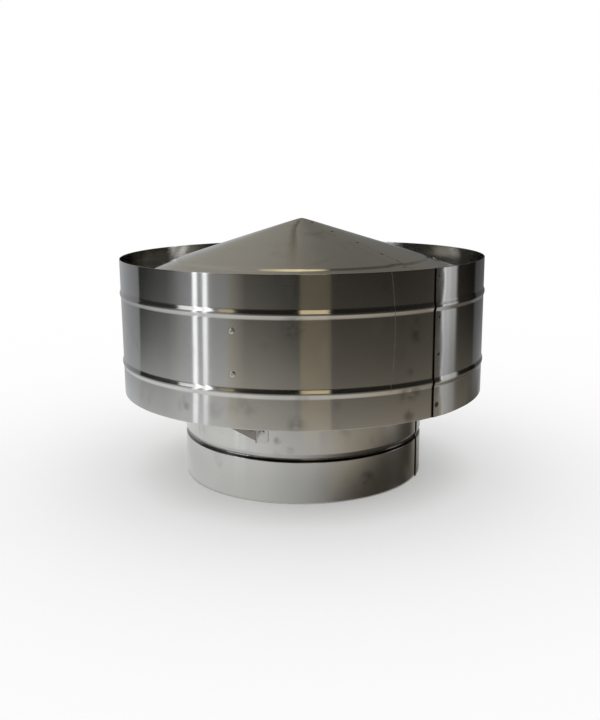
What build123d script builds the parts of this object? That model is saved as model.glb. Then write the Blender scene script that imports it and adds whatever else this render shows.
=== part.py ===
"""Chimney cowl: a flue collar, a wind drum and a rain cone of rolled sheet, held by three folded brackets.

Millimetres, +Z up. The origin is the centre of the collar's foot. Azimuths are counted in degrees from
-Y (the front) towards +X.
"""

import os
from math import asin, atan, cos, degrees, radians, sin, sqrt, tan

from build123d import *

# Sheet
sheet_t = 0.7
bracket_t = 1.2
lap_gap = 0.4
lap_width = 13.0
joggle_w = 2.0
lap_end_gap = 0.6

# Flue collar: slips over a flue casing of this outside diameter
flue_d = 300.0
flue_clearance = 0.5
collar_h = 170.0
groove_z = 54.0
groove_w = 9.0
groove_floor_w = 3.5
groove_depth = 2.6
collar_seam_az = 68.5

# Wind drum
drum_bore_d = 450.0
drum_h = 165.0
drum_lift = 110.0
bead_inset = 40.5
bead_w = 10.0
bead_crest_w = 4.0
bead_rise = 1.4
drum_seam_az = 39.3

# Rain cone
apex_above_drum = 46.0
cone_angle = 17.35
tip_d = 12.0
vent_gap = 25.0
brim_w = 44.0
step_w = 5.0
step_h = 1.5
cone_seam_az = 48.0
cone_lap_deg = 6.0
cone_lap_gap = 0.25

# Brackets
bracket_names = ("front_bracket", "right_bracket", "rear_bracket")
first_bracket_az = -21.1
flange_w = 15.5
bend_r = 1.0
corner_r = 3.0
tab_z = 72.0
tab_below_top = 22.0
drum_flange_up = 0.0
drum_flange_down = 48.0
cone_flange_inset = 10.0
cone_flange_len = 27.0
web_clear = 2.5
web_foot_up = 3.5

# Rivet heads
head_d = 6.4
head_top_d = 3.6
head_h = 1.3
head_sides = 12
collar_rivet_up = 13.5
rivet_pitch = 46.0

# Radii and levels that follow
collar_ri = flue_d / 2 + flue_clearance
collar_ro = collar_ri + sheet_t
drum_ri = drum_bore_d / 2
drum_ro = drum_ri + sheet_t
drum_top = drum_lift + drum_h
lap_rise = sheet_t + lap_gap
slope = radians(cone_angle)
apex_z = drum_top + apex_above_drum
rim_r = drum_ri - vent_gap
step_r = rim_r - brim_w
cone_flange_r1 = rim_r - cone_flange_inset
cone_flange_r0 = cone_flange_r1 - cone_flange_len
rivet_in = (flange_w + bracket_t) / 2
bracket_pitch = 360 / len(bracket_names)
bracket_az = {name: first_bracket_az + place * bracket_pitch for place, name in enumerate(bracket_names)}


def turn(az, shape):
    """Turn a shape drawn on the XZ plane to an azimuth."""
    return Rot(0, 0, az - 90) * shape


def bead_points(r, z, bead, side):
    """Four corners of one face of the sheet across a bead on a vertical wall, from below upwards.

    r is the plain mid-surface radius, bead is (foot width, crest width, rise) with the rise negative for an
    inward groove, and side is the distance of this face of the sheet from the mid-surface.
    """
    foot_w, crest_w, rise = bead
    flank = atan(2 * abs(rise) / (foot_w - crest_w))
    mitre = side * tan(flank / 2) * (1 if rise > 0 else -1)
    foot = foot_w / 2 + mitre
    crest = crest_w / 2 + mitre
    x = r + side
    return [(x, z - foot), (x + rise, z - crest), (x + rise, z + crest), (x, z + foot)]


def upright_face(points):
    """Flat face on the XZ plane through (radius, height) points."""
    return make_face(Polyline([(x, 0, z) for x, z in points], close=True))


def wall_section(r_inner, z0, z1, beads, inner_shift, outer_shift):
    """Section of a rolled wall with its beads, each (height, bead), its faces moved out by the shifts."""
    faces = []
    for side, shift in ((-sheet_t / 2, inner_shift), (sheet_t / 2, outer_shift)):
        mid = r_inner + sheet_t / 2 + shift
        line = [(mid + side, z0)]
        for z, bead in beads:
            line += bead_points(mid, z, bead, side)
        faces.append(line + [(mid + side, z1)])
    return upright_face(faces[0] + faces[1][::-1])


def sector(section, az, sweep):
    """Revolve a section from an azimuth through a positive sweep."""
    return turn(az, revolve(section, Axis.Z, sweep))


def lap_shifts(rise):
    """Shifts of a sheet's two faces where it lies flat, where it is raised, and in the joggle between."""
    return ((0, 0), (rise, rise), (0, rise))


def rolled(sections, seam_az, lap, joggle, end_gap, hand):
    """One rolled sheet whose raised end laps over its other end, from sections flat, raised and joggled.

    The free edge is at seam_az, and the lap lies to its right for hand 1 and to its left for hand -1.
    """
    flat, raised, joggled = sections
    if hand > 0:
        top = sector(raised, seam_az, lap)
        bend = sector(joggled, seam_az + lap, joggle)
        main = sector(flat, seam_az + lap + joggle, 360 - joggle - end_gap)
    else:
        top = sector(raised, seam_az - lap, lap)
        bend = sector(joggled, seam_az - lap - joggle, joggle)
        main = sector(flat, seam_az - lap + end_gap, 360 - joggle - end_gap)
    return main + [bend, top]


def rivet_sites(az):
    """Seats of one bracket's rivets, each with +Z out of the head."""
    mid_z = drum_lift + drum_h / 2
    brim_r = (cone_flange_r0 + cone_flange_r1) / 2
    seats = [
        (collar_ro + bracket_t, tab_z + collar_rivet_up, 90),
        (drum_ro, mid_z - rivet_pitch / 2, 90),
        (drum_ro, mid_z + rivet_pitch / 2, 90),
        (brim_r, brim_z(brim_r), cone_angle),
    ]
    return [
        Rot(0, 0, az - 90 + degrees(asin(rivet_in / r))) * Pos(r, 0, z) * Rot(0, lean, 0)
        for r, z, lean in seats
    ]


def brim_z(r):
    """Height of the brim's upper face."""
    return apex_z - r * tan(slope) - step_h / cos(slope)


def make_wall(r_inner, z0, z1, beads, seam_az):
    """Rolled wall of the collar or the drum, with its lapped seam."""
    sections = [wall_section(r_inner, z0, z1, beads, *shifts) for shifts in lap_shifts(lap_rise)]
    lap, joggle, gap = [degrees(arc / r_inner) for arc in (lap_width, joggle_w, lap_end_gap)]
    return rolled(sections, seam_az, lap, joggle, gap, 1)


def make_collar():
    """Flue collar with its inward stop groove."""
    groove = (groove_w, groove_floor_w, -groove_depth)
    return make_wall(collar_ri, 0, collar_h, [(groove_z, groove)], collar_seam_az)


def make_drum():
    """Wind drum with its two outward beads."""
    bead = (bead_w, bead_crest_w, bead_rise)
    beads = [(drum_lift + bead_inset, bead), (drum_top - bead_inset, bead)]
    return make_wall(drum_ri, drum_lift, drum_top, beads, drum_seam_az)


def cone_point(s, n, lift=0.0):
    """Point at slant distance s from the apex and n out of the slope, raised by lift."""
    return (s * cos(slope) + n * sin(slope), apex_z - s * sin(slope) + n * cos(slope) + lift)


def cone_section(inner_lift, outer_lift):
    """Section of the cone outside its tip: slope, step and brim, its two faces raised by the lifts."""
    s_tip, s_step, s_rim = [r / cos(slope) for r in (tip_d / 2, step_r, rim_r)]
    mitre = sheet_t * tan(atan(step_h / step_w) / 2)
    faces = []
    for n, shift, lift in ((0.0, 0.0, outer_lift), (-sheet_t, -mitre, inner_lift)):
        line = [(s_tip, n), (s_step - step_w / 2 + shift, n), (s_step + step_w / 2 + shift, n - step_h)]
        line.append((s_rim, n - step_h))
        faces.append([cone_point(s, height, lift) for s, height in line])
    return upright_face(faces[0] + faces[1][::-1])


def make_tip():
    """Blunt tip that closes the cone, at half its slope."""
    rim = [cone_point(tip_d / 2 / cos(slope), n) for n in (0.0, -sheet_t)]
    peak = [(0, z + r * tan(slope / 2)) for r, z in rim]
    return revolve(upright_face(rim + peak[::-1]), Axis.Z, 360)


def make_cone():
    """Rain cone with its closed tip, step, brim and radial lapped seam."""
    rise = (sheet_t + cone_lap_gap) / cos(slope)
    sections = [cone_section(*lifts) for lifts in lap_shifts(rise)]
    joggle, gap = [degrees(arc / step_r) for arc in (joggle_w, lap_end_gap)]
    return rolled(sections, cone_seam_az, cone_lap_deg, joggle, gap, -1) + make_tip()


def near(shape, x, y):
    """The vertex of a flat outline nearest to a point."""
    return shape.vertices().sort_by_distance((x, y, 0))[0]


def bracket_plan():
    """Outline from above of the web and its two upright flanges, with their bends."""
    inner = collar_ro + bracket_t
    outer = drum_ri - bracket_t
    rings = Circle(inner) - Circle(collar_ro) + (Circle(drum_ri) - Circle(outer))
    plan = rings & (Pos(drum_ri / 2, flange_w / 2) * Rectangle(drum_ri + 2 * sheet_t, flange_w))
    length = outer - inner + bracket_t
    plan = plan + Pos((inner + outer) / 2, bracket_t / 2) * Rectangle(length, bracket_t)
    plan = fillet([near(plan, sqrt(inner**2 - bracket_t**2), bracket_t)], bend_r)
    plan = fillet([near(plan, sqrt(outer**2 - bracket_t**2), bracket_t)], bend_r)
    plan = fillet([near(plan, collar_ro, 0)], bend_r + bracket_t)
    return fillet([near(plan, drum_ri, 0)], bend_r + bracket_t)


def make_bracket(az):
    """Folded strut: a radial web with flanges on the collar, on the drum and under the cone."""
    web_r0 = collar_ro + 2 * bracket_t + bend_r
    web_r1 = drum_ri - 2 * bracket_t - bend_r
    tab_top = collar_h - tab_below_top
    low = drum_lift + drum_flange_up
    high = drum_top - drum_flange_down
    under = sheet_t / cos(slope)
    plate = bracket_t / cos(slope)
    seat = [(r, brim_z(r) - under) for r in (cone_flange_r0, cone_flange_r1)]
    crown = [(r, z - plate / 2) for r, z in reversed(seat)]
    foot = [(web_r0, tab_z + web_foot_up), (web_r1, low)]
    body = [*foot, (web_r1, high), *crown, (web_r0, collar_h + web_clear)]
    web = extrude(upright_face(body), bracket_t, dir=(0, 1, 0))
    blank = Pos(0, 0, tab_z) * extrude(bracket_plan(), high - tab_z)
    tab_end = [(web_r0, tab_top), (0, tab_top), (0, tab_z), (web_r0, tab_z)]
    drum_end = [(drum_ro, low), (drum_ro, high), (web_r1, high)]
    blank = blank & extrude(upright_face(foot + drum_end + tab_end), flange_w + bracket_t, dir=(0, 1, 0))
    corners = [e for e in blank.edges() if e.center().Y > flange_w - sheet_t and e.length < 2 * bracket_t]
    blank = fillet(corners, corner_r)
    drop = [(r, z - plate) for r, z in reversed(seat)]
    flap = revolve(upright_face(seat + drop), Axis.Z, degrees(flange_w / cone_flange_r0))
    return turn(az, blank + [web, flap])


def make_rivets():
    """Heads of all the blind rivets, each seated on the outer sheet of its joint, with few flat sides."""
    lean = degrees(atan((head_d - head_top_d) / 2 / head_h))
    head = extrude(RegularPolygon(head_d / 2, head_sides), head_h, taper=lean).solid()
    return Compound([site * head for az in bracket_az.values() for site in rivet_sites(az)])


def write(name, shape):
    """Name a node and write its file."""
    shape.label = name
    export_step(shape, os.path.join("parts", name + ".step"))


os.makedirs("parts", exist_ok=True)
write("base_collar", make_collar())
write("wind_drum", make_drum())
write("rain_cone", make_cone())
for bracket, azimuth in bracket_az.items():
    write(bracket, make_bracket(azimuth))
write("blind_rivets", make_rivets())
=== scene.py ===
"""Looks of the chimney cowl: rolled sheets with laps, beads and spot welds, folded brackets and rivet heads.

Metres, +Z up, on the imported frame. Azimuths are counted from -Y (the front) towards +X.
"""

from math import cos, radians, sin

import bpy
import numpy as np
from mathutils import Matrix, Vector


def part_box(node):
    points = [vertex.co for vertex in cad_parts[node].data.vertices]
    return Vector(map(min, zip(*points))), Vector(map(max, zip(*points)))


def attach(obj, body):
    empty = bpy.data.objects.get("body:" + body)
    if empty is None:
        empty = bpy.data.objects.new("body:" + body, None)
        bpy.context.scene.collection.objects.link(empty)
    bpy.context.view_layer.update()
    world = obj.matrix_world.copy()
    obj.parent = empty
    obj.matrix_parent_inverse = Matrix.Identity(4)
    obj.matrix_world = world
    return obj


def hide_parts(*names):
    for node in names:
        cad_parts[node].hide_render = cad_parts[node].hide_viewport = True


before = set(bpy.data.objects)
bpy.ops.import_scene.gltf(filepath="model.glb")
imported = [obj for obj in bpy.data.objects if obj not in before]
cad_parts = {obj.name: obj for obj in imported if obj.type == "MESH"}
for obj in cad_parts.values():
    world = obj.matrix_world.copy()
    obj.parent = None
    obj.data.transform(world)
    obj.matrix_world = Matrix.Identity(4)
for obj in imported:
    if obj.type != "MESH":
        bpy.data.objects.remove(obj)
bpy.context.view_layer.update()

bl_info = {
    "name": "Chimney Cowl",
    "version": (1, 0, 0),
    "blender": (4, 5, 0),
    "location": "View3D > Sidebar > Cowl",
    "description": "Sheets, brackets and rivets of a stainless chimney cowl on its packed frame",
    "category": "Object",
}

MM = 0.001
TURN = 2 * np.pi
ROOT = "root"
SHEET_SLOT = "stainless_sheet"
RIVET_SLOT = "rivet_steel"
BRACKETS = ("front_bracket", "right_bracket", "rear_bracket")
SHARP_ANGLE = radians(38)

# Burnt spot welds and dark handling marks on the walls: degrees of azimuth, millimetres above the foot,
# radius in millimetres, strength
DRUM_WELDS = ((40.5, 156.5, 2.4, 1), (40.9, 112, 2, 1), (40.9, 70.5, 2.8, 1), (40.6, 14, 4.2, 1))
DRUM_SMUDGES = (
    (-34.2, 18, 7, 1.1),
    (-25.2, 18.2, 15, 0.5),
    (-14.3, 22, 12, 0.45),
    (-10.1, 90, 9, 0.35),
    (-2.2, 109, 20, 1.6),
    (-1.6, 7.2, 15, 0.9),
    (9.1, 28.8, 9, 0.4),
    (22.6, 150.6, 10, 1.3),
    (27.2, 77.2, 10, 0.5),
    (30.5, 7.4, 11, 1.3),
    (30.6, 56.2, 8, 1),
    (29.2, 31, 12, 1.2),
    (32.4, 32, 12, 1.2),
    (32.6, 111.6, 7, 0.9),
    (32.9, 96.4, 15, 1.65),
)
COLLAR_WELDS = tuple((70.2, up, 2.4, 1) for up in (9, 34, 76, 118, 160))
COLLAR_SMUDGES = ((-11.2, 76, 7, 1), (-5.7, 64.6, 7, 0.6), (29.8, 25.2, 14, 1.6))

# Drum's scratch: degrees of azimuth, then millimetres: middle above the foot, half length, bow, half
# width; and the square of its length's share at which it has faded out
DRUM_SCRATCH = (24.3, 101, 63, 5, 0.7)
SCRATCH_END = 1.1

# Cone's spot welds: degrees of azimuth, millimetres from the axis, radius in millimetres
CONE_WELDS = (
    (43.6, 19, 2.6),
    (45, 52, 3),
    (47, 90.5, 3),
    (46.9, 127, 3),
    (47.7, 149, 2.4),
    (45.5, 162.5, 2.6),
)

# Noises of the finishes: scale along each axis, and the values between which a noise begins and is full
GRAIN_SCALE = (6.0, 6.0, 2600.0)
CLOUD_SCALE, CLOUD_RANGE = (9.0, 9.0, 12.0), (0.45, 0.75)
PATCH_SCALE, PATCH_RANGE = (110.0, 110.0, 110.0), (0.25, 0.6)
MARK_SCALE, MARK_RANGE = (34.0, 34.0, 22.0), (0.56, 0.74)
WEAR_SCALE, WEAR_RANGE = (900.0, 900.0, 900.0), (0.5, 0.8)

# Shares of the stain's and the smudges' colours, and of a spot's radius that is full
MARK_STAIN, CLOUD_STAIN, SMUDGE_SHARE = 0.5, 0.4, 0.6
SMUDGE_CORE, WELD_CORE = 0.1, 0.45

# What each layer adds to the sheet's roughness, the grain's bump, and the turn of the stretch that it gives
ROUGHEN = {
    "grain": 0.05,
    "cloud": 0.06,
    "marks": 0.05,
    "smudge": 0.05,
    "heat": 0.12,
    "shade_and_grime": 0.3,
    "scratch": 0.2,
}
GRAIN_BUMP = {"Strength": 0.012, "Distance": 0.001}
GRAIN_TURN = 0.25

# Roughness of a rivet head, and what wear adds to it
RIVET_ROUGHNESS, RIVET_WEAR = 0.24, 0.16

# Rolled walls: grid pitches at the lap and elsewhere, steps beside the lapped edge, band kept plain at a
# rim, angles of the points round a rim
LAP_PITCH, WALL_PITCH = radians(0.18), radians(0.6)
EDGE_STEPS = 8
RIM_BAND = 1.2 * MM
RIM_TURNS = np.radians([82, 60, 40, 20])

# Waves of a rolled wall: share, (waves round, phase), (radians per metre up, phase); for the slanting
# ones share, waves round, radians per metre up, phase
CROSSED_WAVE = (0.5, (3, 0.7), (22, 0.4))
SLANTING_WAVES = ((0.32, 11, 31, 1.9), (0.18, 23, -17, 0.3))

# Buckle along a lapped edge: distance of its middle from the edge, reach
BUCKLE_MIDDLE, BUCKLE_REACH = 8 * MM, 9 * MM

# Height of a bead in the solids, and how far the wavy collar keeps inside its solid
SOLID_BEAD_RISE = 1.4 * MM
COLLAR_INSET = 0.1 * MM

# Bead: share of its width in a flank, share of its height where the crest begins to round
BEAD_FLANK, BEAD_CREST = 0.42, 0.7

# Half of the finely divided band over a bead, groove or step, as a share of its width
FINE_BAND = 0.6

# Groove, in shares of its width: lower and upper flank, then where the painted shade on the lower flank
# begins and ends; and how softly the lean sets in
LOWER_FLANK, UPPER_FLANK = 0.35, 0.65
SHADE_FOOT, SHADE_TOP = (-0.54, -0.48), (-0.25, -0.15)
LEAN_BLEND = 0.2

# Painted shade and grime: share and reach beside a wall's seam, where the lap's gap is painted as shade
# with soiling in the joint; least shares of the groove's painted shade on its left side and on its lap;
# sines of azimuth between which the left side ends; shares of the painted shade in the cone's crease and
# of the darkening along its lapped edge
SEAM_SHADE_AND_DIRT, SEAM_REACH = 0.85, (-3 * MM, -2.2 * MM)
LEFT_SHADE, LEFT_END = 0.5, (-0.75, -0.45)
LAP_SHADE = 0.3
CREASE_SHADE, EDGE_DARKENING = 0.5, 0.25

# Cone: how far its rounded rim stands past the solid's edge, radius of the hole under the weld dot, half
# width and half height of the dot, angles of the points round its section
CONE_RIM_PAST = 0.15 * MM
TIP_HOLE_R = 1 * MM
TIP_DOT = (3.2 * MM, 0.75 * MM)
DOT_TURNS = np.radians([-88, -60, -30, 0, 30, 60, 88])

# Azimuths and radii between which the cone's grid is finest; its dents' waves round, phase, radians per metre
FINE_AZIMUTHS = (radians(-45), radians(5))
FINE_RADII = (60 * MM, 6 * MM)
DENT_WAVE = (3, 0.4, 30)

# Radii between which the cone's lap rises, its dents grow, its crease bends aside, widens from a narrow
# share, begins and dies away, and the darkening along its edge begins; angles from the edge where that
# darkening begins
LIFT_RISE = (2 * MM, 80 * MM)
DENT_RISE = (2 * MM, 40 * MM)
CREASE_BEND = (-10 * MM, 45 * MM)
CREASE_WIDEN, CREASE_NARROW = (40 * MM, 100 * MM), 0.6
CREASE_RISE = (2 * MM, 14 * MM)
CREASE_FADE = (60 * MM, 180 * MM)
EDGE_RISE = (20 * MM, 60 * MM)
EDGE_BAND = (radians(1), radians(0.5))

# Half section of a rivet head, from its seat over the dome to the sunk pin: shares of radius and height
RIVET_RADII = np.array([1.0, 1.0, 0.97, 0.86, 0.68, 0.48, 0.37, 0.32, 0.3, 0.16])
RIVET_HEIGHTS = np.array([-0.12, 0.22, 0.42, 0.7, 0.9, 0.98, 1.0, 0.96, 0.66, 0.66])

# Tints of the studio's light
COOL = np.array([0.97, 1.0, 1.06])
PLAIN = np.array([0.98, 1.0, 1.02])
STRAW = np.array([1.0, 0.96, 0.86])
WARM = np.array([1.0, 0.91, 0.77])
AMBER = np.array([1.0, 0.88, 0.66])
LAMP = np.array([1.0, 0.86, 0.56])

# Floor round the collar's foot: azimuths and levels
FOOT = ((-180, -85, -35, 0, 35, 55, 80, 135, 180), (0.6, 0.72, 0.62, 0.44, 0.29, 0.14, 0.06, 0.05, 0.6))

# Studio panels: first and last azimuth, levels (near, far, high) at each side, tint
PANELS = (
    (-180, -172, (0.45, 0.4, 0.24), (0.45, 0.46, 0.315), PLAIN),
    (-172, -150, (0.45, 0.46, 0.315), (0.44, 0.42, 0.42), PLAIN),
    (-150, -117, (0.44, 0.42, 0.42), (0.41, 0.2, 0.42), COOL),
    (-117, -88, (0.39, 0.012, 0.02), (0.5, 0.06, 0.02), PLAIN),
    (-88, -76, (0.5, 0.06, 0.02), (0.6, 0.17, 0.02), PLAIN),
    (-76, -55.5, (0.6, 0.17, 0.02), (0.6, 0.33, 0.02), COOL),
    (-55.5, -44, (0.54, 0.25, 0.02), (0.54, 0.2, 0.02), PLAIN),
    (-44, -33, (0.54, 0.2, 0.02), (0.42, 0.055, 0.015), STRAW),
    (-33, -1, (0.42, 0.055, 0.015), (0.33, 0.006, 0.015), STRAW),
    (-1, 17, (0.38, 0.062, 0.015), (0.3, 0.062, 0.015), AMBER),
    (17, 62, (0.17, 0.024, 0.015), (0.14, 0.021, 0.015), WARM),
    (62, 93, (0.14, 0.021, 0.015), (0.15, 0.036, 0.015), WARM),
    (93, 96, (0.5, 1.02, 0.3), (0.5, 1.0, 0.3), COOL),
    (96, 98.5, (0.39, 0.68, 0.3), (0.38, 0.66, 0.3), COOL),
    (98.5, 104, (0.4, 0.74, 0.3), (0.36, 0.68, 0.3), COOL),
    (104, 108.5, (0.33, 0.6, 0.2), (0.26, 0.5, 0.12), PLAIN),
    (108.5, 112, (0.29, 0.62, 0.12), (0.19, 0.4, 0.06), PLAIN),
    (112, 134, (0.11, 0.015, 0.05), (0.11, 0.004, 0.09), WARM),
    (134, 170, (0.15, 0.06, 0.09), (0.38, 0.14, 0.187), PLAIN),
    (170, 181, (0.38, 0.14, 0.187), (0.45, 0.4, 0.24), PLAIN),
)

# Lamps: first and last azimuth, level, radii, lowest and highest point in metres, tint
LAMPS = (
    (-67.2, -63.8, 1.6, (0.58, 3), 0, 0.4, COOL),
    (-60.2, -57, 1.1, (0.58, 1), 0, 0.4, COOL),
    (-60.2, -57, 1.5, (1, 3), 0, 0.4, COOL),
    (-80, -56, 1.3, (2, 3), 0.5, 2.4, COOL),
    (-66.7, -64.4, 3.0, (2, 3), 0.4, 3, COOL),
    (-59.7, -57.6, 3.0, (2, 3), 0.4, 3, COOL),
    (-52.8, -42, 0.6, (2, 3), 0.9, 2.4, LAMP),
    (-1, 16.5, 0.8, (2, 3), 0.75, 2.4, LAMP),
    (-180, 0, 0.8, (0, 1), 2.9, 3, LAMP),
    (-180, 181, 1.3, (0, 0.65), 2.9, 3, LAMP),
)

# Cards behind the right side that only the drum's inside mirrors: first and last azimuth
CARDS = ((113.6, 115.4), (116, 117.8), (118.9, 120.4))

# Studio bowl: shares of the wall's height between which a panel's high level takes over, gap round the
# collar's foot, radius that parts the ring's fine and coarse steps, hole in the ceiling, columns
WALL_HIGH = (0.12, 0.4)
FOOT_GAP = 2 * MM
RING_MIDDLE = 0.8
ROOF_HOLE = 0.05
COLUMNS = 1441

# Floor at the foot: inner share of its radius, gain towards its outer edge, azimuths between which its
# shade begins and ceases to lean, and its warm tint begins and ceases
FOOT_CORE, FOOT_GAIN = 0.6, 0.3
LEAN_FROM, LEAN_TO = (-20, 40), (110, 160)
WARM_FROM, WARM_TO = (0, 60), (135, 175)

# Sight lines: shares of the collar's radius and of the azimuth that set their offset, azimuths between
# which it dies away, shares of the twist on the left and on the right
COLLAR_SIGHT, DRUM_SIGHT = 0.95, 0.553
SIGHT_END = (radians(160), radians(180))
LEFT_TWIST, RIGHT_TWIST = 0.72, 1.0

# Width of the camera's frame in millimetres
SENSOR = 36

# Corners of the CAD nodes, from which the sheets take their sizes
COLLAR_LOW, COLLAR_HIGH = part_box("base_collar")
DRUM_LOW, DRUM_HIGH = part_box("wind_drum")
CONE_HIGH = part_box("rain_cone")[1]


# Property helpers


def length(label, text, value):
    """A length in metres that a user may change."""
    return bpy.props.FloatProperty(name=label, description=text, default=value, unit="LENGTH", precision=5)


def angle(label, text, value):
    """An angle given in degrees and kept in radians."""
    return bpy.props.FloatProperty(name=label, description=text, default=radians(value), subtype="ANGLE")


def factor(label, text, value):
    """A share from 0 to 1."""
    return bpy.props.FloatProperty(
        name=label, description=text, default=value, subtype="FACTOR", min=0, max=1
    )


def number(label, text, value):
    """A plain number."""
    return bpy.props.FloatProperty(name=label, description=text, default=value)


def colour(label, text, value):
    """A linear colour."""
    return bpy.props.FloatVectorProperty(
        name=label, description=text, default=value, size=3, subtype="COLOR", min=0, max=1
    )


class CowlSizes(bpy.types.PropertyGroup):
    """Sizes of the sheets, laps, beads and rivet heads."""

    sheet_t: length("Sheet thickness", "Thickness of the rolled sheets", 0.7 * MM)
    lap_rise: length("Lap rise", "How far a lapped end stands out over the sheet below", 1.1 * MM)
    lap_w: length("Lap width", "Width of the lap on the drum and the collar", 13 * MM)
    lap_ramp: length("Lap ramp", "Length over which a lapped end comes down", 45 * MM)
    lap_gap: length("Lap end gap", "Gap between a hidden end and the ramp", 0.6 * MM)
    bead_w: length("Bead width", "Width of a drum bead", 10 * MM)
    bead_rise: length("Bead rise", "Height of a drum bead", 1.28 * MM)
    bead_inset: length("Bead inset", "Distance from a drum rim to the middle of its bead", 40.5 * MM)
    bead_drop: length("Bead drop", "How far the rolled beads sit below their even places", 1 * MM)
    groove_w: length("Groove width", "Width of the collar's stop groove", 9 * MM)
    groove_depth: length("Groove depth", "Depth of the collar's stop groove", 2.6 * MM)
    groove_z: length("Groove height", "Height of the groove above the collar's foot", 54.7 * MM)
    groove_lean: length("Groove lean", "How much higher the groove runs on the left", 2 * MM)
    step_r: length("Step radius", "Radius of the step between the cone's slope and its brim", 156 * MM)
    step_w: length("Step width", "Width of the cone's step along the slope", 5 * MM)
    step_drop: length("Step drop", "Depth of the cone's step", 1.5 * MM)
    cone_lap_rise: length("Cone lap rise", "How far the cone's lapped end stands up", 0.95 * MM)
    head_d: length("Rivet head", "Diameter of a rivet head", 6.4 * MM)
    head_h: length("Rivet height", "Height of a rivet head", 1.3 * MM)
    bracket_t: length("Bracket thickness", "Thickness of the folded brackets", 1.2 * MM)
    rivet_in: length("Rivet inset", "Distance of a rivet from the bracket's web", 8.35 * MM)
    rivet_pitch: length("Rivet pitch", "Distance between the two rivets on the drum", 46 * MM)
    collar_rivet_z: length("Collar rivet height", "Height of the rivet on the collar", 85.5 * MM)
    brim_rivet_r: length("Brim rivet radius", "Distance of a brim rivet from the axis", 176.5 * MM)
    tip_cut: length("Tip cut", "How far the blunt tip stays below the cone's sharp apex", 0.96 * MM)
    buckle: length("Buckle", "Unevenness along a lapped edge", 0.16 * MM)
    buckle_l: length("Buckle length", "Length of the buckle's waves over two pi", 11 * MM)
    crease: length("Cone crease", "Depth of the crease that rolling left below the tip", 0.35 * MM)
    crease_x: length("Crease place", "Distance of the crease to the right of the axis", -9 * MM)
    crease_w: length("Crease width", "Half width of the crease", 5 * MM)
    wave: length("Waviness", "Unevenness left in the sheets by rolling", 0.1 * MM)


class CowlAngles(bpy.types.PropertyGroup):
    """Slope of the cone and places round the axis."""

    cone_slope: angle("Cone slope", "Slope of the rain cone below the horizontal", 17.35)
    cone_lap: angle("Cone lap", "Angle covered by the cone's lap", 6)
    cone_ramp: angle("Cone ramp", "Angle over which the cone's lapped end comes down", 5)
    drum_seam: angle("Drum seam", "Azimuth of the drum's free edge", 39.3)
    collar_seam: angle("Collar seam", "Azimuth of the collar's free edge", 68.5)
    cone_seam: angle("Cone seam", "Azimuth of the cone's free edge", 48)
    first_bracket: angle("First bracket", "Azimuth of the front bracket's web", -21.1)


class CowlColours(bpy.types.PropertyGroup):
    """Colours and gloss of the metal."""

    steel: colour("Steel", "Colour of the clean sheet", (0.63, 0.615, 0.58))
    stain: colour("Stain", "Colour of faint handling marks", (0.5, 0.485, 0.455))
    heat: colour("Heat mark", "Colour of a burnt spot weld", (0.13, 0.09, 0.055))
    smudge: colour("Smudge", "Colour of the darkest handling marks", (0.3, 0.28, 0.24))
    # This colour paints both the soiling in a joint and the shade in the lap's gap, the groove and the cone's
    # crease
    shade_and_grime: colour("Grime", "Colour of the dirt in a seam or groove", (0.025, 0.022, 0.018))
    rivet: colour("Rivet", "Colour of the rivet heads", (0.66, 0.65, 0.63))
    gloss: factor("Sheet roughness", "Roughness of the clean sheet", 0.14)
    bracket_gloss: factor("Bracket roughness", "Roughness of the folded brackets", 0.3)
    grain: factor("Sheet grain", "How much the rolled grain draws reflections out", 1.0)


class CowlStage(bpy.types.PropertyGroup):
    """Camera, floor and studio surround."""

    distance: length("Camera distance", "Distance of the camera from the flue axis", 1.1177)
    height: length("Camera height", "Height of the camera above the floor", 0.3767)
    pitch: angle("Camera pitch", "Angle that the camera looks down", 12.02)
    yaw: angle("Camera yaw", "Angle that the camera looks to the left", 0.168)
    roll: angle("Camera roll", "Turn of the camera about its own axis", -0.44)
    lens: number("Lens", "Focal length in millimetres on a 36 mm frame", 44.26)
    floor_size: length("Floor size", "Side of the square floor", 40)
    floor: colour("Floor", "Colour of the floor", (0.82, 0.82, 0.82))
    surround_r: length("Surround radius", "Radius of the studio walls", 2.6)
    surround_h: length("Surround height", "Height of the studio walls", 3.0)
    foot_r: length("Foot light", "Radius of the floor that the collar mirrors", 0.36)
    near_r: length("Near light", "Radius of the floor that the drum's foot mirrors", 0.77)
    far_r: length("Far light", "Radius of the floor that the drum's top mirrors", 2.4)
    foot_lean: number("Foot lean", "Degrees by which the foot's shade turns with each metre of radius", 310)
    card_r: length("Card radius", "Distance of the upright cards from the axis", 0.5)
    card_low: length("Card foot", "Height of the cards' lower edges", 0.29)
    card_h: length("Card height", "Height of the cards", 0.25)
    card_level: number("Card level", "Light of the cards", 4)
    card_reach: length("Card reach", "Distance beyond which the metal mirrors the cards", 0.58)
    lift: length("Surround lift", "Height of the mirrored floor ring above the floor", 0.0005)


# Shader expressions


class Value:
    """A shader socket in a Python expression: each operator adds one Math node."""

    def __init__(self, tree, socket):
        self.tree = tree
        self.socket = socket

    def combine(self, operation, first, second):
        node = self.tree.nodes.new("ShaderNodeMath")
        node.operation = operation
        for place, value in zip(node.inputs, (first, second)):
            join(self.tree, place, value)
        return Value(self.tree, node.outputs[0])

    def __add__(self, other):
        return self.combine("ADD", self, other)

    def __radd__(self, other):
        return self.combine("ADD", other, self)

    def __sub__(self, other):
        return self.combine("SUBTRACT", self, other)

    def __rsub__(self, other):
        return self.combine("SUBTRACT", other, self)

    def __mul__(self, other):
        return self.combine("MULTIPLY", self, other)

    def __rmul__(self, other):
        return self.combine("MULTIPLY", other, self)


def join(tree, place, value):
    """Link a Value to an input socket, or set the socket to a number, vector or colour."""
    if isinstance(value, Value):
        tree.links.new(value.socket, place)
    else:
        place.default_value = value


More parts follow.
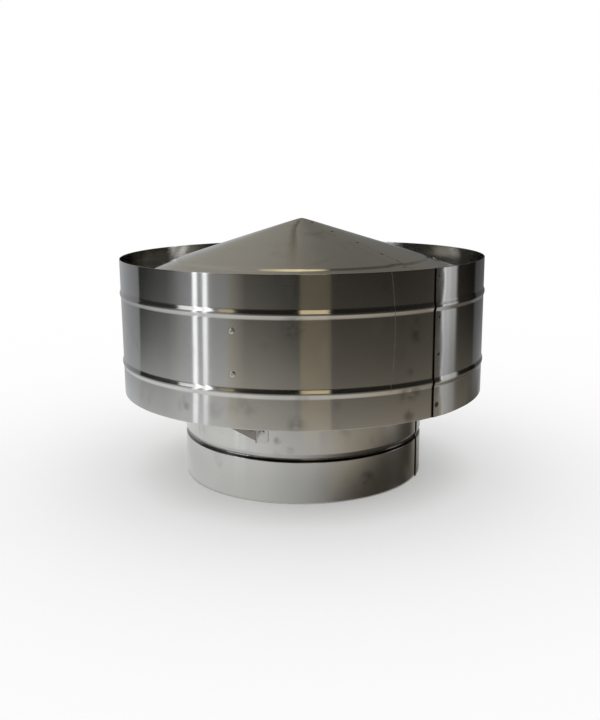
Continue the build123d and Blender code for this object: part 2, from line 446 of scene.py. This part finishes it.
class Finish:
    """A node tree under construction, with one method that adds any node."""

    def __init__(self, tree):
        self.tree = tree
        tree.nodes.clear()

    def add(self, kind, settings=None, inputs=None, output=0):
        """Add a node: its settings first, then the values or links of its sockets."""
        node = self.tree.nodes.new(kind)
        for key, value in (settings or {}).items():
            setattr(node, key, value)
        for key, value in (inputs or {}).items():
            join(self.tree, node.inputs[key], value)
        return Value(self.tree, node.outputs[output]) if node.outputs else node

    def place(self, scale):
        """Object coordinates times a scale for each axis."""
        coordinates = self.add("ShaderNodeTexCoord", output="Object")
        return self.add("ShaderNodeMapping", inputs={"Vector": coordinates, "Scale": scale})

    def noise(self, scale, detail):
        """Noise from 0 to 1 on scaled object coordinates."""
        sockets = {"Vector": self.place(scale), "Scale": 1.0, "Detail": detail}
        return self.add("ShaderNodeTexNoise", inputs=sockets)

    def ramp(self, value, low, high):
        """Smooth step of a value from low to high, as 0 to 1."""
        sockets = {"Value": value, "From Min": low, "From Max": high}
        return self.add("ShaderNodeMapRange", {"interpolation_type": "SMOOTHSTEP"}, sockets)

    def spots(self, places, core):
        """Sum of round spots of (middle, radius, strength): full out to the core's share, then fading."""
        total = 0.0
        where = self.add("ShaderNodeTexCoord", output="Object")
        for middle, size, strength in places:
            ends = {0: where, 1: middle}
            away = self.add("ShaderNodeVectorMath", {"operation": "DISTANCE"}, ends, "Value")
            total = total + self.ramp(away, size, core * size) * strength
        return total

    def scratch(self, line):
        """Thin upright line on the front of a wall: 1 along a parabola beside an azimuth, 0 away from it."""
        az, middle, half, bow, width = line
        where = self.add("ShaderNodeTexCoord", output="Object")
        x, y, z = [self.add("ShaderNodeSeparateXYZ", inputs={0: where}, output=axis) for axis in "XYZ"]
        level = (z - middle) * (1 / half)
        square = level * level
        aside = x * cos(az) + y * sin(az) + (square - 1.0) * bow
        along = self.ramp(square, SCRATCH_END, 1.0) * self.ramp(y, 0.0, -width)
        return self.ramp(aside * aside, width**2, 0.0) * along

    def mix(self, share, first, second):
        """Mix of two colours."""
        sockets = {0: share, 6: first, 7: second}
        return self.add("ShaderNodeMix", {"data_type": "RGBA"}, sockets, 2)


def opaque(rgb):
    """A colour property as four numbers."""
    return (*rgb, 1.0)


def sheet_finish(name, looks, gloss, grained, welds=(), smudges=(), scratch=None):
    """Rolled stainless sheet: faint clouds and marks, under smudges, burnt spot welds, and painted shade with
    soiling.

    The painted shade and soiling come from the piece's own attribute. The grain runs round the axis and,
    where grained is 1, draws reflections out along the wall. Every layer changes the roughness too.
    """
    material = bpy.data.materials.new(name)
    material.use_nodes = True
    make = Finish(material.node_tree)
    grain = make.noise(GRAIN_SCALE, detail=3.0)
    cloud = make.noise(CLOUD_SCALE, detail=4.0)
    patchy = make.noise(PATCH_SCALE, detail=4.0)
    marks = make.ramp(make.noise(MARK_SCALE, detail=5.0), *MARK_RANGE)
    smudge = make.spots(smudges, SMUDGE_CORE) * make.ramp(patchy, *PATCH_RANGE)
    heat = make.spots(welds, WELD_CORE)
    # Painted shade and soiling from the piece's own attribute: shade in the lap's gap, the groove and the
    # crease
    shade_and_grime = make.add("ShaderNodeAttribute", {"attribute_name": "shade_and_grime"}, output="Fac")
    soil = marks * MARK_STAIN + make.ramp(cloud, *CLOUD_RANGE) * CLOUD_STAIN
    clean = make.mix(soil, opaque(looks.steel), opaque(looks.stain))
    dull = make.mix(smudge * SMUDGE_SHARE, clean, opaque(looks.smudge))
    burnt = make.mix(heat, dull, opaque(looks.heat))
    layers = {
        "grain": grain - 0.5,
        "cloud": cloud - 0.5,
        "marks": marks,
        "smudge": smudge,
        "heat": heat,
        "shade_and_grime": shade_and_grime,
        "scratch": make.scratch(scratch) if scratch else 0.0,
    }
    sockets = {
        "Base Color": make.mix(shade_and_grime, burnt, opaque(looks.shade_and_grime)),
        "Metallic": 1.0,
        "Roughness": gloss + sum(layer * ROUGHEN[key] for key, layer in layers.items()),
        "Anisotropic": grained,
        "Anisotropic Rotation": GRAIN_TURN,
        "Normal": make.add("ShaderNodeBump", inputs={**GRAIN_BUMP, "Height": grain}),
    }
    shader = make.add("ShaderNodeBsdfPrincipled", inputs=sockets)
    make.add("ShaderNodeOutputMaterial", inputs={"Surface": shader})
    return material


def rivet_finish(name, looks):
    """Bright rivet head with fine wear."""
    material = bpy.data.materials.new(name)
    material.use_nodes = True
    make = Finish(material.node_tree)
    wear = make.noise(WEAR_SCALE, detail=3.0)
    base = make.mix(make.ramp(wear, *WEAR_RANGE), opaque(looks.rivet), opaque(looks.stain))
    sockets = {"Base Color": base, "Metallic": 1.0, "Roughness": RIVET_ROUGHNESS + wear * RIVET_WEAR}
    shader = make.add("ShaderNodeBsdfPrincipled", inputs=sockets)
    make.add("ShaderNodeOutputMaterial", inputs={"Surface": shader})
    return material


# Meshes from grids


def spread(*stops):
    """Values from stop to stop, each stop given as (value, number of steps to it)."""
    parts = [np.array([stops[0]])]
    last = stops[0]
    for value, steps in stops[1:]:
        parts.append(np.linspace(last, value, steps + 1)[1:])
        last = value
    return np.concatenate(parts)


def smooth(x, low, high):
    """Smooth step of an array from low to high, as 0 to 1."""
    t = np.clip((x - low) / (high - low), 0, 1)
    return t * t * (3 - 2 * t)


def bead_shape(x, middle, width):
    """Rolled bead of unit height: even flanks that end in a quarter sine towards the crest."""
    flank = np.clip((width / 2 - np.abs(x - middle)) / (BEAD_FLANK * width), 0, 1)
    last = 1 - BEAD_CREST
    crest = BEAD_CREST + last * np.sin((flank - BEAD_CREST) / last * np.pi / 2)
    return np.where(flank < BEAD_CREST, flank, crest)


def round_axis(r, z, az):
    """Points at radius r, height z and azimuth az, which broadcast together."""
    r, z, az = np.broadcast_arrays(r, z, az)
    return np.stack([r * np.sin(az), -r * np.cos(az), z], axis=-1)


def mesh_object(name, points, quads, material):
    """A smooth-shaded mesh object at the origin from arrays of points and four-sided faces."""
    mesh = bpy.data.meshes.new(name)
    count = len(quads)
    mesh.vertices.add(len(points))
    mesh.vertices.foreach_set("co", np.ascontiguousarray(points, dtype=np.float32).ravel())
    mesh.loops.add(4 * count)
    mesh.loops.foreach_set("vertex_index", np.ascontiguousarray(quads, dtype=np.int32).ravel())
    mesh.polygons.add(count)
    mesh.polygons.foreach_set("loop_start", np.arange(0, 4 * count, 4, dtype=np.int32))
    mesh.update(calc_edges=True)
    mesh.polygons.foreach_set("use_smooth", np.ones(count, dtype=bool))
    mesh.set_sharp_from_angle(angle=SHARP_ANGLE)
    if mesh.validate():
        raise RuntimeError(f"{name} has faulty faces")
    mesh.materials.append(material)
    piece = bpy.data.objects.new(name, mesh)
    bpy.context.scene.collection.objects.link(piece)
    return piece


def ribbon(low, high):
    """Quads between two rows of vertex numbers."""
    return np.stack([low[:-1], low[1:], high[1:], high[:-1]], axis=-1).reshape(-1, 4)


def grid_quads(numbers):
    """Quads of a grid of vertex numbers, whose first axis runs to the right and second upwards."""
    corners = [numbers[:-1, :-1], numbers[1:, :-1], numbers[1:, 1:], numbers[:-1, 1:]]
    return np.stack(corners, axis=-1).reshape(-1, 4)


def closed_sheet(outer, inner):
    """Points and quads of a sheet from its two faces, grids of (path, profile, xyz), its edges closed."""
    rows, columns = outer.shape[:2]
    front = np.arange(rows * columns).reshape(rows, columns)
    back = front + rows * columns
    quads = [
        grid_quads(front),
        grid_quads(back)[:, ::-1],
        ribbon(front[:, -1], back[:, -1]),
        ribbon(back[:, 0], front[:, 0]),
        ribbon(front[0], back[0]),
        ribbon(back[-1], front[-1]),
    ]
    points = np.concatenate([outer.reshape(-1, 3), inner.reshape(-1, 3)])
    return points, np.concatenate(quads)


def rim_profile(levels, sheet_t):
    """Heights along a sheet and the share of its half thickness at each, with both rims rounded off."""
    half = sheet_t / 2
    inset = half * (1 - np.sin(RIM_TURNS))
    low = levels[0] + inset
    high = levels[-1] - inset[::-1]
    middle = levels.copy()
    middle[0] += half
    middle[-1] -= half
    z = np.concatenate([low, middle, high])
    ends = np.cos(RIM_TURNS)
    share = np.concatenate([ends, np.ones(len(levels)), ends[::-1]])
    return z, share


def lap_path(seam, lap, ramp, gap):
    """Azimuths of a rolled sheet from its free edge once round to its hidden end, closest at the lap."""
    near = seam + lap + ramp
    under = seam + TURN
    beside = under - EDGE_STEPS * LAP_PITCH
    lapped = int(np.ceil((near - seam) / LAP_PITCH))
    plain = int(np.ceil((beside - near) / WALL_PITCH))
    hidden = (under + lap - gap, max(4, lapped // 4))
    return spread(seam, (near, lapped), (beside, plain), (under, EDGE_STEPS), hidden)


def waves(az, z, size):
    """Slow unevenness of a rolled wall: a wave round the axis times one up the wall, plus slanting waves."""
    share, (turns, shift), (climb, start) = CROSSED_WAVE
    total = share * np.sin(turns * az + shift) * np.sin(climb * z + start)
    for share, turns, climb, shift in SLANTING_WAVES:
        total = total + share * np.sin(turns * az + climb * z + shift)
    return size * total


def rolled_wall(name, r_outer, levels, swell, seam, sizes, material, painted_shade=None, lean=None):
    """Rolled wall: radius is plain radius plus beads along z, lap rise and buckle along azimuth, and waves.

    The two faces lie half a sheet each side. swell gives the beads' radial rise at a height. At an azimuth
    and a height, painted_shade gives the painted shade and lean how much higher a bead runs. A dark line of
    painted shade in the lap's gap, with soiling in the joint, also lines the seam.
    """
    lap, ramp, gap = [arc / r_outer for arc in (sizes.lap_w, sizes.lap_ramp, sizes.lap_gap)]
    az = lap_path(seam, lap, ramp, gap)[:, None]
    z, share = rim_profile(levels, sizes.sheet_t)
    rise = sizes.lap_rise * (1 - smooth(az, seam + lap, seam + lap + ramp))
    arc = (az - seam) * r_outer
    bell = np.exp(-(((arc - BUCKLE_MIDDLE) / BUCKLE_REACH) ** 2))
    buckle = sizes.buckle * np.sin(z / sizes.buckle_l) * bell
    middle = r_outer - sizes.sheet_t / 2 + swell(z) + rise + buckle + waves(az, z, sizes.wave)
    height = z + lean(az, z) if lean else z
    faces = [round_axis(middle + side * share * sizes.sheet_t / 2, height, az) for side in (1, -1)]
    piece = mesh_object(name, *closed_sheet(*faces), material)
    # Painted shade of the gap under the lapped edge, with soiling in the joint, as a dark line beside the
    # seam
    line = SEAM_SHADE_AND_DIRT * np.maximum(smooth(arc - TURN * r_outer, *SEAM_REACH), arc <= 0)
    shade_and_grime = line + np.zeros_like(z)
    paint(piece, "shade_and_grime", np.maximum(shade_and_grime, painted_shade(az, z)) if painted_shade else shade_and_grime)
    return piece


def fine_levels(low, high, beads, width):
    """Heights from low to high, close together across each bead."""
    stops = [low, (low + RIM_BAND, 1)]
    for middle in beads:
        stops += [(middle - FINE_BAND * width, 5), (middle + FINE_BAND * width, 18)]
    stops += [(high - RIM_BAND, 5), (high, 1)]
    return spread(*stops)


def settle(piece, slot, *nodes):
    """Let a finished piece ride on the frame and stand for its CAD nodes."""
    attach(piece, ROOT)
    if nodes:
        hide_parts(*nodes)


def on_wall(r, low, marks):
    """Spots of (middle, radius, strength) on a wall of radius r, from marks placed above its foot at low."""
    places = []
    for az, up, size, strength in marks:
        places.append((tuple(round_axis(r, low + up * MM, radians(az))), size * MM, strength))
    return places


def paint(piece, name, values):
    """Store one number for each vertex of a sheet, the same on both its faces."""
    layer = piece.data.attributes.new(name, "FLOAT", "POINT")
    layer.data.foreach_set("value", np.tile(values.ravel(), 2).astype(np.float32))


# Pieces


class COWL_OT_drum(bpy.types.Operator):
    """Wind drum: rolled wall with two outward beads and a spot-welded lap."""

    bl_idname = "cowl.drum"
    bl_label = "Wind Drum"

    def execute(self, context):
        sizes = context.scene.cowl_sizes
        looks = context.scene.cowl_colours
        seam = context.scene.cowl_angles.drum_seam
        low, high = DRUM_LOW[2], DRUM_HIGH[2]
        beads = (low + sizes.bead_inset - sizes.bead_drop, high - sizes.bead_inset - sizes.bead_drop)
        r_outer = DRUM_HIGH[0] - SOLID_BEAD_RISE

        def swell(z):
            """Sum of the two beads."""
            return sizes.bead_rise * sum(bead_shape(z, middle, sizes.bead_w) for middle in beads)

        welds = on_wall(r_outer + sizes.lap_rise, low, DRUM_WELDS)
        smudges = on_wall(r_outer, low, DRUM_SMUDGES)
        az, middle, half, bow, width = DRUM_SCRATCH
        scratch = (radians(az), low + middle * MM, half * MM, bow * MM, width * MM)
        levels = fine_levels(low, high, beads, sizes.bead_w)
        sheet = sheet_finish("drum_stainless", looks, looks.gloss, looks.grain, welds, smudges, scratch)
        drum = rolled_wall("drum_wall", r_outer, levels, swell, seam, sizes, sheet)
        settle(drum, SHEET_SLOT, "wind_drum")
        return {"FINISHED"}


class COWL_OT_collar(bpy.types.Operator):
    """Flue collar: rolled wall with an inward stop groove and a spot-welded lap."""

    bl_idname = "cowl.collar"
    bl_label = "Flue Collar"

    def execute(self, context):
        sizes = context.scene.cowl_sizes
        looks = context.scene.cowl_colours
        seam = context.scene.cowl_angles.collar_seam
        low, high = COLLAR_LOW[2], COLLAR_HIGH[2]
        middle = low + sizes.groove_z
        r_outer = COLLAR_HIGH[0]
        r_wall = r_outer - COLLAR_INSET
        lap_end = sizes.lap_w + sizes.lap_ramp

        def swell(z):
            """Groove: its depth times the share gone in on the lower flank and left on the upper one."""
            up = (z - middle) / sizes.groove_w
            lower = np.clip((up + 0.5) / LOWER_FLANK, 0, 1)
            return -sizes.groove_depth * lower * np.clip((0.5 - up) / UPPER_FLANK, 0, 1)

        def painted_shade(az, z):
            """Painted shade in the groove along the lower flank, thinner on the left and where the sheet
            comes out of its lap.
            """
            up = (z - middle) / sizes.groove_w
            left = LEFT_SHADE + (1 - LEFT_SHADE) * smooth(np.sin(az), *LEFT_END)
            lapped = LAP_SHADE + (1 - LAP_SHADE) * smooth((az - seam) * r_wall, lap_end, 2 * lap_end)
            return smooth(up, *SHADE_FOOT) * (1 - smooth(up, *SHADE_TOP)) * left * lapped

        def lean(az, z):
            """How much higher the groove runs towards the left, less and less towards the rims."""
            left = (np.hypot(np.sin(az), LEAN_BLEND) - np.sin(az)) / 2
            return sizes.groove_lean * left * np.interp(z, (low, middle, high), (0, 1, 0))

        welds = on_wall(r_outer + sizes.lap_rise, low, COLLAR_WELDS)
        smudges = on_wall(r_outer, low, COLLAR_SMUDGES)
        levels = fine_levels(low, high, (middle,), sizes.groove_w)
        sheet = sheet_finish("collar_stainless", looks, looks.gloss, looks.grain, welds, smudges)
        collar = rolled_wall("collar_wall", r_wall, levels, swell, seam, sizes, sheet, painted_shade, lean)
        settle(collar, SHEET_SLOT, "base_collar")
        return {"FINISHED"}


class COWL_OT_cone(bpy.types.Operator):
    """Rain cone: sloped sheet with a step, a brim, a radial lap and a weld dot at its tip."""

    bl_idname = "cowl.cone"
    bl_label = "Rain Cone"

    def execute(self, context):
        sizes = context.scene.cowl_sizes
        angles = context.scene.cowl_angles
        looks = context.scene.cowl_colours
        welds = []
        for az, r, size in CONE_WELDS:
            middle = round_axis(r * MM, cone_level(r * MM, sizes, angles), radians(az))
            welds.append((tuple(middle), size * MM, 1.0))
        sheet = sheet_finish("cone_stainless", looks, looks.gloss, looks.grain, welds)
        cone = cone_sheet(sizes, angles, sheet)
        settle(cone, SHEET_SLOT, "rain_cone")
        dot = tip_dot(sheet)
        settle(dot, SHEET_SLOT)
        return {"FINISHED"}


def cone_level(r, sizes, angles):
    """Height of the cone's upper face: the blunted apex less radius times slope, less a smooth step."""
    slope = angles.cone_slope
    blunt = np.sqrt((r * np.tan(slope)) ** 2 + sizes.tip_cut**2)
    drop = sizes.step_drop * smooth(r, sizes.step_r - sizes.step_w / 2, sizes.step_r + sizes.step_w / 2)
    return CONE_HIGH[2] + sizes.tip_cut - blunt - drop / np.cos(slope)


def cone_sheet(sizes, angles, material):
    """Cone: height is the plain cone's plus the lap's lift along azimuth and slow dents, less a crease.

    The crease is a bell curve across its course, which bends aside below the tip. The grid runs round the
    axis from the hidden end to the free edge, and up the slope from rim to tip.
    """
    slope = angles.cone_slope
    rim_r = CONE_HIGH[0] + CONE_RIM_PAST
    seam, lap, ramp = angles.cone_seam, angles.cone_lap, angles.cone_ramp
    start = seam - lap + sizes.lap_gap / sizes.step_r
    edge, lapped = seam + TURN, seam - lap + TURN
    round_back = [(seam, 14), (TURN + FINE_AZIMUTHS[0], 260), (TURN + FINE_AZIMUTHS[1], 100)]
    az = spread(start, *round_back, (lapped - ramp, 32), (lapped, 16), (edge, 30))
    half = FINE_BAND * sizes.step_w
    step = [(sizes.step_r + half, 7), (sizes.step_r - half, 16)]
    slope_up = [(FINE_RADII[0], 18), (FINE_RADII[1], 40), (TIP_HOLE_R, 6)]
    r, share = rim_profile(-spread(rim_r, *step, *slope_up), sizes.sheet_t)
    r, az = -r, az[:, None]
    lift = sizes.cone_lap_rise * smooth(az, lapped - ramp, lapped) * smooth(r, *LIFT_RISE)
    turns, shift, climb = DENT_WAVE
    dents = sizes.wave * np.sin(turns * az + shift) * np.sin(climb * r) * smooth(r, *DENT_RISE)
    course = sizes.crease_x * smooth(r, *CREASE_BEND)
    width = sizes.crease_w * (CREASE_NARROW + (1 - CREASE_NARROW) * smooth(r, *CREASE_WIDEN))
    bell = np.exp(-(((r * np.sin(az) - course) / width) ** 2)) * (np.cos(az) > 0)
    crease = bell * smooth(r, *CREASE_RISE) * (1 - smooth(r, *CREASE_FADE))
    level = cone_level(r, sizes, angles) + lift + dents - sizes.crease * crease
    thick = sizes.sheet_t / np.cos(slope)
    faces = [round_axis(r, level - thick / 2 + side * share * thick / 2, az) for side in (1, -1)]
    cone = mesh_object("cone_sheet", *closed_sheet(*faces), material)
    beside = smooth(az, edge - EDGE_BAND[0], edge - EDGE_BAND[1]) * smooth(r, *EDGE_RISE)
    # Painted shade along the crease; the sheet darkened beside its lapped edge, away from the tip
    paint(cone, "shade_and_grime", np.maximum(CREASE_SHADE * crease, EDGE_DARKENING * beside))
    return cone


def tip_dot(material):
    """Weld dot on the cone's tip: a flat closed cap, its half section half an ellipse."""
    wide, tall = TIP_DOT
    seat = (np.array([0, 0, CONE_HIGH[2] - tall]), np.array([0.0, 0, 1]), np.array([1.0, 0, 0]))
    dot = turned(wide * np.cos(DOT_TURNS), tall * np.sin(DOT_TURNS), [seat])
    return mesh_object("cone_tip_weld", *dot, material)


def turned(radii, heights, seats, sides=28):
    """Closed turned shapes: a profile of radii and heights swept round the axis of each seat.

    A seat is its middle, its axis and one direction across. Each end of the profile closes to a point.
    """
    around = np.linspace(0, TURN, sides, endpoint=False)[:, None]
    rings = np.arange(sides * len(radii)).reshape(sides, -1)
    wrapped = np.concatenate([rings, rings[:1]])
    low, high = rings.size, rings.size + 1
    fans = []
    for pole, ring in ((low, wrapped[::-1, 0]), (high, wrapped[:, -1])):
        fans.append(np.stack([np.full(sides // 2, pole), ring[:-1:2], ring[1::2], ring[2::2]], axis=-1))
    quads = np.concatenate([grid_quads(wrapped), *fans])
    points, faces = [], []
    for middle, axis, across in seats:
        beside = np.cross(axis, across)
        ring = np.cos(around)[..., None] * across + np.sin(around)[..., None] * beside
        grid = middle + radii[:, None] * ring + heights[:, None] * axis
        ends = [middle + heights[0] * axis, middle + heights[-1] * axis]
        faces.append(quads + sum(len(part) for part in points))
        points.append(np.concatenate([grid.reshape(-1, 3), ends]))
    return np.concatenate(points), np.concatenate(faces)


class COWL_OT_brackets(bpy.types.Operator):
    """Folded brackets: the CAD nodes with the sheet's finish."""

    bl_idname = "cowl.brackets"
    bl_label = "Brackets"

    def execute(self, context):
        looks = context.scene.cowl_colours
        sheet = sheet_finish("bracket_stainless", looks, looks.bracket_gloss, 0.0)
        for name in BRACKETS:
            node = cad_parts[name]
            node.data.materials.clear()
            node.data.materials.append(sheet)
        return {"FINISHED"}


class COWL_OT_rivets(bpy.types.Operator):
    """Rivet heads: bright domes with a sunk pin, on their CAD seats."""

    bl_idname = "cowl.rivets"
    bl_label = "Rivets"

    def execute(self, context):
        sizes = context.scene.cowl_sizes
        angles = context.scene.cowl_angles
        turns = np.arange(len(BRACKETS)) * TURN / len(BRACKETS)
        seats = [seat for turn in turns for seat in rivet_seats(sizes, angles, turn)]
        heads = turned(RIVET_RADII * sizes.head_d / 2, RIVET_HEIGHTS * sizes.head_h, seats)
        sheen = rivet_finish("rivet_bright", context.scene.cowl_colours)
        rivets = mesh_object("rivet_heads", *heads, sheen)
        settle(rivets, RIVET_SLOT, "blind_rivets")
        return {"FINISHED"}


def rivet_seats(sizes, angles, turn):
    """Seats of one bracket's rivets, each its middle, its axis and the direction round the cowl."""
    drum_r = DRUM_HIGH[0] - sizes.bead_rise
    drum_mid = (DRUM_LOW[2] + DRUM_HIGH[2]) / 2
    slope = angles.cone_slope
    apex_z = CONE_HIGH[2] + sizes.tip_cut
    brim_z = apex_z - sizes.brim_rivet_r * np.tan(slope) - sizes.step_drop / np.cos(slope)
    places = [(COLLAR_HIGH[0] + sizes.bracket_t, sizes.collar_rivet_z, 0.0)]
    places += [(drum_r, drum_mid + side * sizes.rivet_pitch / 2, 0.0) for side in (-1, 1)]
    places.append((sizes.brim_rivet_r, brim_z, radians(90) - slope))
    seats = []
    for r, z, lift in places:
        az = angles.first_bracket + turn + np.arcsin(sizes.rivet_in / r)
        outward = np.array([np.sin(az), -np.cos(az), 0])
        axis = outward * np.cos(lift) + np.array([0, 0, np.sin(lift)])
        seats.append((outward * r + np.array([0, 0, z]), axis, np.array([np.cos(az), np.sin(az), 0])))
    return seats


# Stage


class COWL_OT_stage(bpy.types.Operator):
    """Pale floor, white world, studio surround and the camera."""

    bl_idname = "cowl.stage"
    bl_label = "Stage"

    def execute(self, context):
        stage = context.scene.cowl_stage
        add_floor(stage)
        add_surround(stage)
        add_cards(stage)
        add_world(context.scene)
        add_camera(context.scene, stage)
        context.scene.view_settings.view_transform = "Standard"
        return {"FINISHED"}


def add_floor(stage):
    """A flat square floor, its colour a little lifted for the camera."""
    half = stage.floor_size / 2
    points = np.array([(-half, -half, 0), (half, -half, 0), (half, half, 0), (-half, half, 0)])
    material = bpy.data.materials.new("pale_floor")
    material.use_nodes = True
    make = Finish(material.node_tree)
    diffuse = make.add("ShaderNodeBsdfDiffuse", inputs={"Color": opaque(stage.floor)})
    rays = ("Is Camera Ray", "Is Glossy Ray", "Is Transmission Ray")
    seen = sum(make.add("ShaderNodeLightPath", output=ray) for ray in rays)
    lifted = make.add("ShaderNodeEmission", inputs={"Strength": seen * (1 - stage.floor[0])})
    both = make.add("ShaderNodeAddShader", inputs={0: diffuse, 1: lifted})
    make.add("ShaderNodeOutputMaterial", inputs={"Surface": both})
    floor = mesh_object("floor", points, np.array([(0, 1, 2, 3)]), material)


def surround_light(az, r, z, stage):
    """Light of the surround at azimuths in degrees, radii and heights, as linear colours.

    Along the floor the light runs from the foot's through a panel's near and far levels as powers of the
    radius, and up the wall it gives way to the panel's high level. From side to side of a panel each level
    runs evenly. A lamp keeps one level over its own patch.
    """
    near = np.clip(np.log(r / stage.foot_r) / np.log(stage.near_r / stage.foot_r), 0, 1)
    far = np.clip(np.log(r / stage.near_r) / np.log(stage.far_r / stage.near_r), 0, 1)
    near, far = [np.where(z > stage.lift, 1, share)[..., None] for share in (near, far)]
    high = smooth(z / stage.surround_h, *WALL_HIGH)[..., None]
    core_r = FOOT_CORE * stage.foot_r
    lean = stage.foot_lean * (r - core_r) * smooth(az, *LEAN_FROM) * (1 - smooth(az, *LEAN_TO))
    warm = (smooth(az, *WARM_FROM) * (1 - smooth(az, *WARM_TO)))[..., None]
    foot_light = np.interp(az - lean, *FOOT)[..., None] * (PLAIN + warm * (WARM - PLAIN))
    foot_light = foot_light * (1 + FOOT_GAIN * smooth(r, core_r, stage.foot_r))[..., None]
    light = np.zeros((*az.shape, 3))
    for start, end, first, last, tint in PANELS:
        share = np.clip((az - start) / (end - start), 0, 1)[..., None]
        near_v, far_v, high_v = [a + (b - a) * share for a, b in zip(first, last)]
        level = foot_light ** (1 - near) * (tint * near_v ** (1 - far) * far_v**far) ** near
        level = level + high * (STRAW * high_v - level)
        inside = (az >= start) & (az < end)
        light = np.where(inside[..., None], level, light)
    for start, end, level, reach, low, top, tint in LAMPS:
        inside = (az >= start) & (az < end) & (r > reach[0]) & (r < reach[1]) & (z >= low) & (z <= top)
        light = np.where(inside[..., None], level * tint, light)
    return light


def sight_azimuth(az, r, stage):
    """Azimuth at radius r of a sight line that the metal sends towards az: az less arcsin of offset over r.

    The offset is how far the line passes from the axis. It dies away behind the cowl.
    """
    wall_r = np.interp(r, (COLLAR_HIGH[0], stage.foot_r), (COLLAR_SIGHT * COLLAR_HIGH[0], DRUM_HIGH[0]))
    offset = wall_r * np.sin(DRUM_SIGHT * az) * (1 - smooth(np.abs(az), *SIGHT_END))
    return az - np.where(az < 0, LEFT_TWIST, RIGHT_TWIST) * np.arcsin(offset / r)


def add_surround(stage):
    """Studio walls round the cowl, seen only in the metal: a bowl of floor ring, wall and ceiling."""
    reach, top = stage.surround_r, stage.surround_h
    ring = spread(COLLAR_HIGH[0] + FOOT_GAP, (stage.foot_r, 4), (RING_MIDDLE, 12), (reach, 14))
    wall = spread(0, (top, 20))[1:]
    roof = spread(reach, (ROOF_HOLE, 12))[1:]
    r = np.concatenate([ring, np.full(len(wall), reach), roof])
    z = np.concatenate([np.full(len(ring), stage.lift), wall, np.full(len(roof), top)])
    az = np.linspace(-180, 180, COLUMNS)[:, None]
    seen_r = np.concatenate([ring, np.full(len(wall) + len(roof), reach)])
    points = round_axis(r, z, sight_azimuth(np.radians(az), seen_r, stage))
    quads = grid_quads(np.arange(points.shape[0] * points.shape[1]).reshape(points.shape[:2]))
    rgb = surround_light(*np.broadcast_arrays(az, r, z), stage).reshape(-1, 3)
    mirrored_only("studio_surround", points.reshape(-1, 3), quads, rgb)


def add_cards(stage):
    """Upright bright cards behind the right side, for the far side of the drum's inside alone."""
    points = []
    for start, end in CARDS:
        for az in (start, end):
            foot = round_axis(stage.card_r, stage.card_low, radians(az))
            points += [foot, foot + (0, 0, stage.card_h)]
    quads = np.array([(0, 2, 3, 1)]) + 4 * np.arange(len(CARDS))[:, None]
    rgb = np.full((len(points), 3), stage.card_level)
    mirrored_only("studio_cards", np.array(points), quads, rgb, stage.card_reach)


def mirrored_only(name, points, quads, rgb, beyond=0.0):
    """A glowing mesh of one linear colour for each point, seen only in metal farther off than beyond."""
    material = bpy.data.materials.new(name)
    material.use_nodes = True
    make = Finish(material.node_tree)
    light = make.add("ShaderNodeAttribute", {"attribute_name": "light"}, output="Color")
    away = make.add("ShaderNodeLightPath", output="Ray Length")
    seen = away.combine("GREATER_THAN", away, beyond)
    glow = make.add("ShaderNodeEmission", inputs={"Color": light, "Strength": seen})
    make.add("ShaderNodeOutputMaterial", inputs={"Surface": glow})
    material.cycles.emission_sampling = "NONE"
    piece = mesh_object(name, points, quads, material)
    layer = piece.data.attributes.new("light", "FLOAT_COLOR", "POINT")
    layer.data.foreach_set("color", np.column_stack([rgb, np.ones(len(rgb))]).astype(np.float32).ravel())
    piece.visible_camera = False
    piece.visible_diffuse = False
    piece.visible_transmission = False
    piece.visible_volume_scatter = False
    piece.visible_shadow = False


def add_world(scene):
    """White world of strength 1."""
    world = bpy.data.worlds.new("studio")
    scene.world = world
    world.use_nodes = True
    make = Finish(world.node_tree)
    light = make.add("ShaderNodeBackground", inputs={"Color": (1, 1, 1, 1), "Strength": 1.0})
    make.add("ShaderNodeOutputWorld", inputs={"Surface": light})


def add_camera(scene, stage):
    """Camera in front of the axis, looking down at the photograph's angle."""
    lens = bpy.data.cameras.new("camera")
    lens.lens = stage.lens
    lens.sensor_width = SENSOR
    lens.sensor_fit = "AUTO"
    camera = bpy.data.objects.new("camera", lens)
    scene.collection.objects.link(camera)
    look = Matrix.Rotation(stage.yaw, 4, "Z")
    look = look @ Matrix.Rotation(radians(90) - stage.pitch, 4, "X") @ Matrix.Rotation(stage.roll, 4, "Z")
    camera.matrix_world = Matrix.Translation((0, -stage.distance, stage.height)) @ look
    scene.camera = camera


class COWL_PT_panel(bpy.types.Panel):
    """Sidebar panel with the sizes, colours and pieces."""

    bl_idname = "COWL_PT_panel"
    bl_label = "Chimney Cowl"
    bl_space_type = "VIEW_3D"
    bl_region_type = "UI"
    bl_category = "Cowl"

    def draw(self, context):
        for name in GROUPS:
            group = getattr(context.scene, name)
            for key in group.__annotations__:
                self.layout.prop(group, key)
        for operator in OPERATORS:
            self.layout.operator(operator.bl_idname)


GROUPS = {
    "cowl_sizes": CowlSizes,
    "cowl_angles": CowlAngles,
    "cowl_colours": CowlColours,
    "cowl_stage": CowlStage,
}
OPERATORS = (
    COWL_OT_drum,
    COWL_OT_collar,
    COWL_OT_cone,
    COWL_OT_brackets,
    COWL_OT_rivets,
    COWL_OT_stage,
)
CLASSES = (*GROUPS.values(), *OPERATORS, COWL_PT_panel)


def register():
    for item in CLASSES:
        bpy.utils.register_class(item)
    for name, group in GROUPS.items():
        setattr(bpy.types.Scene, name, bpy.props.PointerProperty(type=group))


def unregister():
    for name in GROUPS:
        delattr(bpy.types.Scene, name)
    for item in reversed(CLASSES):
        bpy.utils.unregister_class(item)


def main():
    register()
    bpy.ops.cowl.drum()
    bpy.ops.cowl.collar()
    bpy.ops.cowl.cone()
    bpy.ops.cowl.brackets()
    bpy.ops.cowl.rivets()
    bpy.ops.cowl.stage()


if __name__ == "__main__":
    main()
